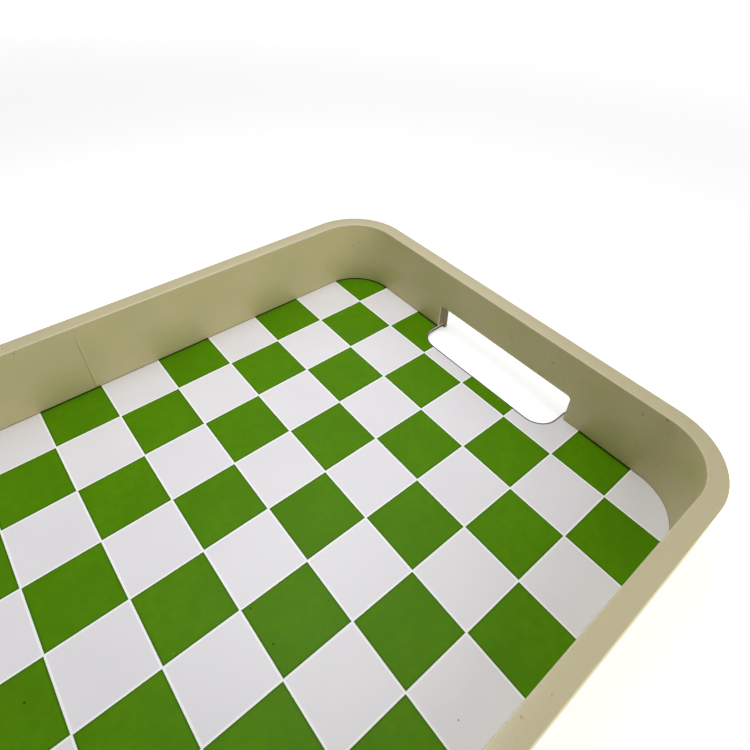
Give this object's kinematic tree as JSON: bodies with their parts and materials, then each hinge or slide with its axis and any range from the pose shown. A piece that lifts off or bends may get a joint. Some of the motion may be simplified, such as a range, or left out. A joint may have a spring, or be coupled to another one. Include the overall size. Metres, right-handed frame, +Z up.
{
  "type": "serving tray",
  "caption": "Rounded rectangular painted wooden serving tray with a chequered printed panel and an open-bottomed hand slot in each end wall.",
  "frame": {"origin": "centre of the base ring, on the surface that the tray stands on", "axes": "+X along the tray towards the right end wall, +Y across it, +Z up out of the tray"},
  "size_m": [0.406, 0.28, 0.05],
  "materials": {
    "frame_paint": "satin sage-green paint over bent wood fibre",
    "dowel_wood": "bare beech",
    "hardboard": "dark pressed fibre",
    "white_face": "semi-gloss white laminate",
    "green_print": "semi-gloss printed green",
    "dark_backing": "matt dark backing foil",
    "staple_steel": "galvanised wire"
  },
  "bodies": {
    "root": {"frame_half_right": "frame_paint", "frame_half_left": "frame_paint", "seam_dowels": "dowel_wood", "floor_board": "hardboard", "face_sheet": "white_face", "printed_squares": "green_print", "backing_sheet": "dark_backing", "panel_staples": "staple_steel"}
  },
  "joints": []
}
